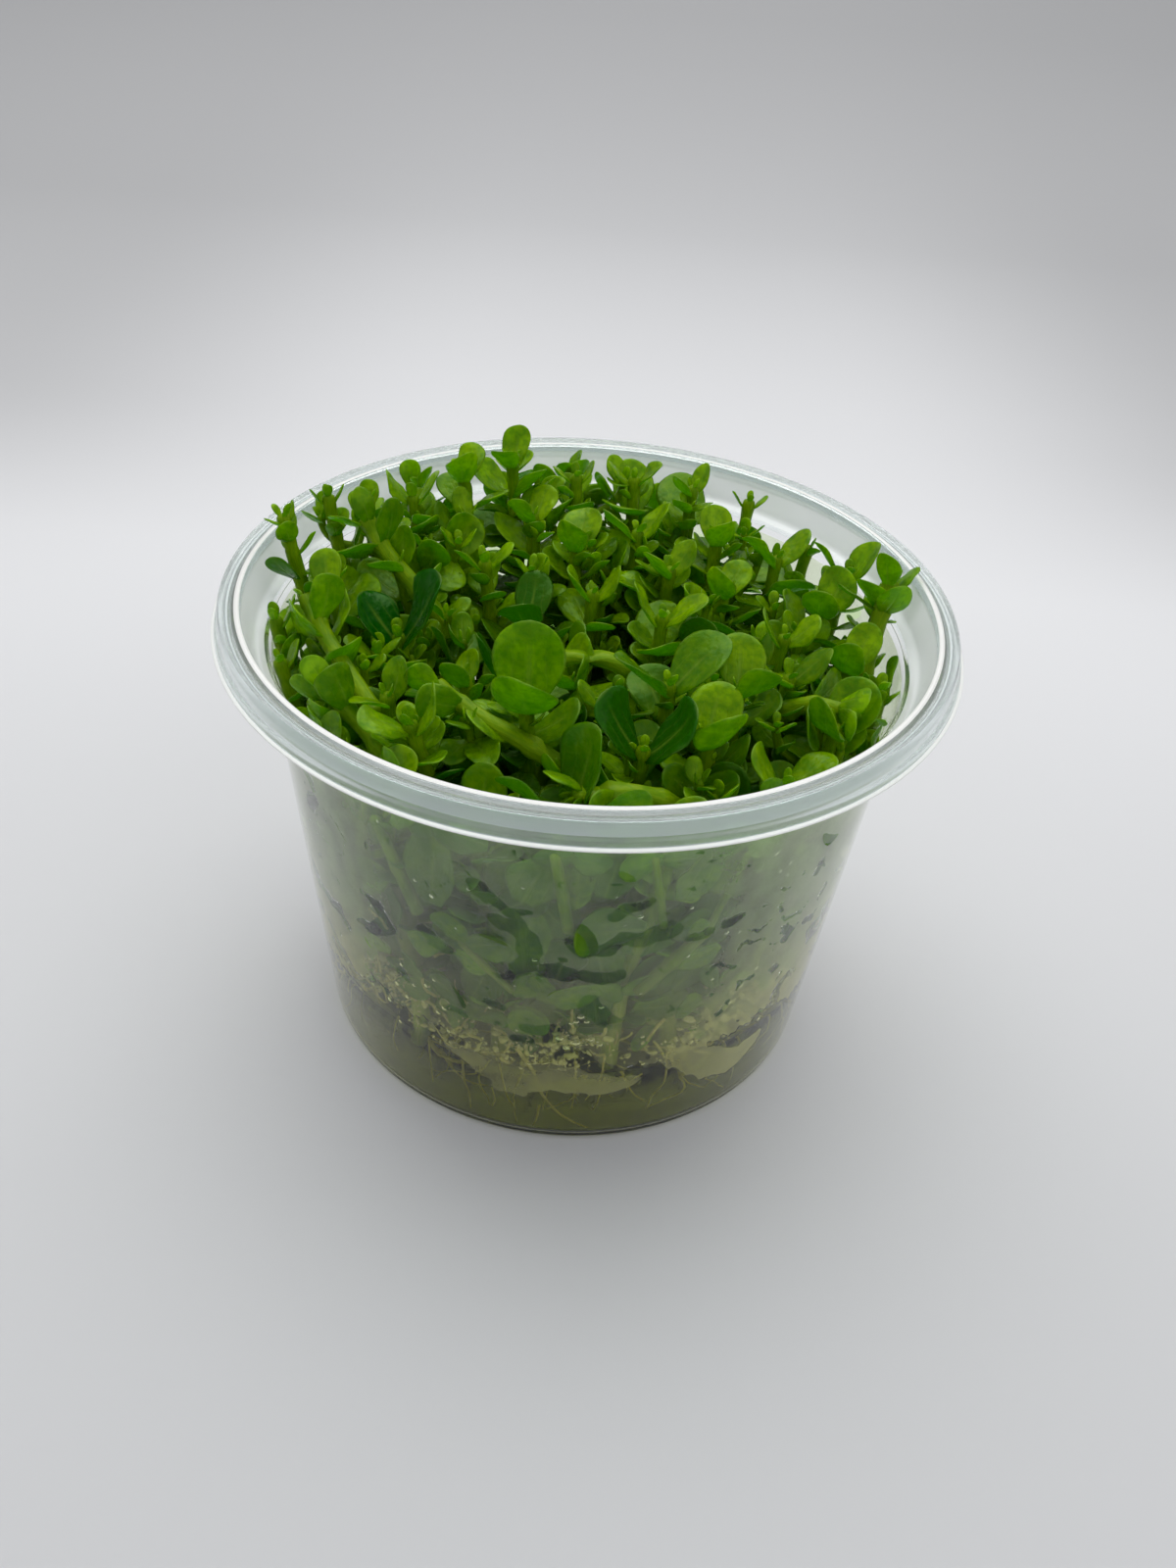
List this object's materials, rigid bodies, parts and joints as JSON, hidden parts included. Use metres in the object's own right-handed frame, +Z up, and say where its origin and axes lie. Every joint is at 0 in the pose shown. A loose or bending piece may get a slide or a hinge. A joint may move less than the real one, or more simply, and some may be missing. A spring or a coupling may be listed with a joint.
{
  "type": "potted water plant",
  "caption": "Bacopa sprigs with small rounded leaves, grown upright in gel in a clear round tapered cup with a rolled rim.",
  "frame": {"origin": "centre of the cup's underside, on the surface it stands on", "axes": "+Z up out of the cup's mouth; -Y faces the picture's viewer; +X to the viewer's right"},
  "size_m": [0.101, 0.101, 0.0755],
  "materials": {
    "clear_plastic": "clear thin moulded plastic, glossy, misted inside with droplets",
    "pale_gel": "wet translucent olive gel with fine pale roots",
    "leaf_green": "satin living leaf and stem, waxy sheen"
  },
  "bodies": {
    "root": {"cup": "clear_plastic", "gel": "pale_gel", "sprig_01": "leaf_green", "sprig_02": "leaf_green", "sprig_03": "leaf_green", "sprig_04": "leaf_green", "sprig_05": "leaf_green", "sprig_06": "leaf_green", "sprig_07": "leaf_green", "sprig_08": "leaf_green", "sprig_09": "leaf_green", "sprig_10": "leaf_green", "sprig_11": "leaf_green", "sprig_12": "leaf_green", "sprig_13": "leaf_green", "sprig_14": "leaf_green", "sprig_15": "leaf_green", "sprig_16": "leaf_green", "sprig_17": "leaf_green", "sprig_18": "leaf_green", "sprig_19": "leaf_green", "sprig_20": "leaf_green", "sprig_21": "leaf_green", "sprig_22": "leaf_green", "sprig_23": "leaf_green", "sprig_24": "leaf_green", "sprig_25": "leaf_green", "sprig_26": "leaf_green", "sprig_27": "leaf_green", "sprig_28": "leaf_green", "sprig_29": "leaf_green", "sprig_30": "leaf_green", "sprig_31": "leaf_green", "sprig_32": "leaf_green", "sprig_33": "leaf_green", "sprig_34": "leaf_green", "sprig_35": "leaf_green", "sprig_36": "leaf_green", "sprig_37": "leaf_green", "sprig_38": "leaf_green", "sprig_39": "leaf_green", "sprig_40": "leaf_green", "sprig_41": "leaf_green", "sprig_42": "leaf_green", "sprig_43": "leaf_green", "sprig_44": "leaf_green", "sprig_45": "leaf_green", "sprig_46": "leaf_green", "sprig_47": "leaf_green", "sprig_48": "leaf_green", "sprig_49": "leaf_green", "sprig_50": "leaf_green", "sprig_51": "leaf_green", "sprig_52": "leaf_green"}
  },
  "joints": []
}
